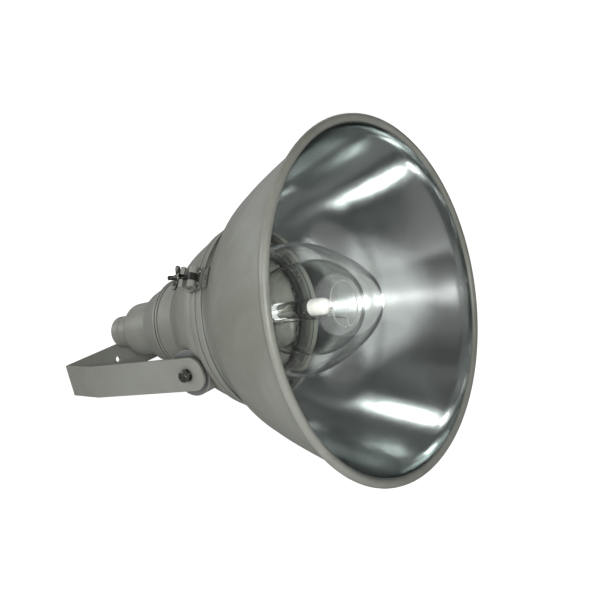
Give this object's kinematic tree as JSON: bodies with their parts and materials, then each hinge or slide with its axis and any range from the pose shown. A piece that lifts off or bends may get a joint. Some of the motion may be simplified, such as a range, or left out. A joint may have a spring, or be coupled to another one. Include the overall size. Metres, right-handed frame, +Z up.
{
  "type": "floodlight",
  "caption": "Floodlight with a spun bell reflector, a glass dome over a screw-cap lamp, a latched and hinged neck ring, a stepped housing and a tilting strap bracket.",
  "frame": {"origin": "floor, under the middle of the whole object's box, with the rim's bead and the bracket's rear edge on the floor", "axes": "+Z up, -Y the way the lamp shines, tipped up by 18 degrees, +X to the side with the neck ring's hinge, -X to the side with the latch"},
  "size_m": [0.5596, 0.6756, 0.5333],
  "materials": {
    "grey_paint": "satin light grey enamel on cast and spun aluminium",
    "dark_disc": "satin dark grey enamel, worn by the bracket's arm",
    "polished_aluminium": "polished and anodised, with fine turned lines",
    "carrier_aluminium": "bright, lightly brushed",
    "bright_steel": "zinc plated, a little dulled",
    "black_steel": "blackened, with bare edges",
    "black_rubber": "matte moulded",
    "clear_glass": "clear blown glass",
    "white_ceramic": "glazed and coated ceramic",
    "brass": "rolled, slightly dulled"
  },
  "bodies": {
    "bracket": {"bracket": "grey_paint"},
    "head": {"arc_front_lead": "bright_steel", "arc_rear_lead": "bright_steel", "arc_tube": "clear_glass", "arc_tube_front_end": "white_ceramic", "arc_tube_rear_end": "white_ceramic", "base_screw_left": "bright_steel", "base_screw_right": "bright_steel", "bridge_screw_left": "bright_steel", "bridge_screw_right": "bright_steel", "catch_screw_left": "bright_steel", "catch_screw_right": "bright_steel", "clip_screw_1": "bright_steel", "clip_screw_2": "bright_steel", "clip_screw_3": "bright_steel", "dome_clip_1": "bright_steel", "dome_clip_2": "bright_steel", "dome_clip_3": "bright_steel", "dome_gasket": "black_rubber", "gland_body": "grey_paint", "gland_locknut": "bright_steel", "gland_nut": "grey_paint", "gland_seal": "black_rubber", "glass_dome": "clear_glass", "hinge_pin": "bright_steel", "holder_bridge": "bright_steel", "holder_contact": "brass", "holder_screw_left": "bright_steel", "holder_screw_right": "bright_steel", "holder_shell": "brass", "housing_bell": "grey_paint", "lamp_bulb": "clear_glass", "lamp_cap": "brass", "lamp_frame": "bright_steel", "lamp_holder": "white_ceramic", "lamp_stem": "clear_glass", "latch_base": "grey_paint", "latch_catch": "grey_paint", "latch_pad": "grey_paint", "latch_pin": "bright_steel", "lens_carrier": "carrier_aluminium", "rear_housing": "grey_paint", "reflector_liner": "polished_aluminium", "reflector_ring": "grey_paint", "reflector_shell": "grey_paint", "ring_gasket": "black_rubber", "seam_gasket": "black_rubber", "spring_washer_left": "bright_steel", "spring_washer_right": "bright_steel", "terminal_block": "white_ceramic", "tilt_bolt_left": "bright_steel", "tilt_bolt_right": "bright_steel", "tilt_disc_left": "dark_disc", "tilt_disc_right": "dark_disc", "tilt_washer_left": "bright_steel", "tilt_washer_right": "bright_steel"},
    "eye_bolt": {"eye_bolt": "black_steel"},
    "latch_washer": {"latch_washer": "bright_steel"},
    "wing_nut": {"wing_nut": "black_steel"}
  },
  "joints": [
    {"name": "head_tilt", "type": "hinge", "parent": "bracket", "child": "head", "pos_m": [0, 0.02068, 0.12632], "axis": [1, 0, 0], "range_deg": [-80, 90]},
    {"name": "eye_bolt_swing", "type": "hinge", "parent": "head", "child": "eye_bolt", "pos_m": [-0.13753, 0.00972, 0.28855], "axis": [0.5878, 0.2497, 0.7695], "range_deg": [0, 100]},
    {"name": "washer_slide", "type": "slide", "parent": "eye_bolt", "child": "latch_washer", "axis": [-0.1957, 0.9668, -0.1643], "range_m": [0, 0.004]},
    {"name": "nut_spin", "type": "hinge", "parent": "latch_washer", "child": "wing_nut", "pos_m": [-0.14243, 0.03389, 0.28444], "axis": [-0.1957, 0.9668, -0.1643], "range_deg": [0, 1152]}
  ],
  "couplings": [
    {"joint": "nut_spin", "follows": "washer_slide", "rad_per_m": 5026}
  ]
}
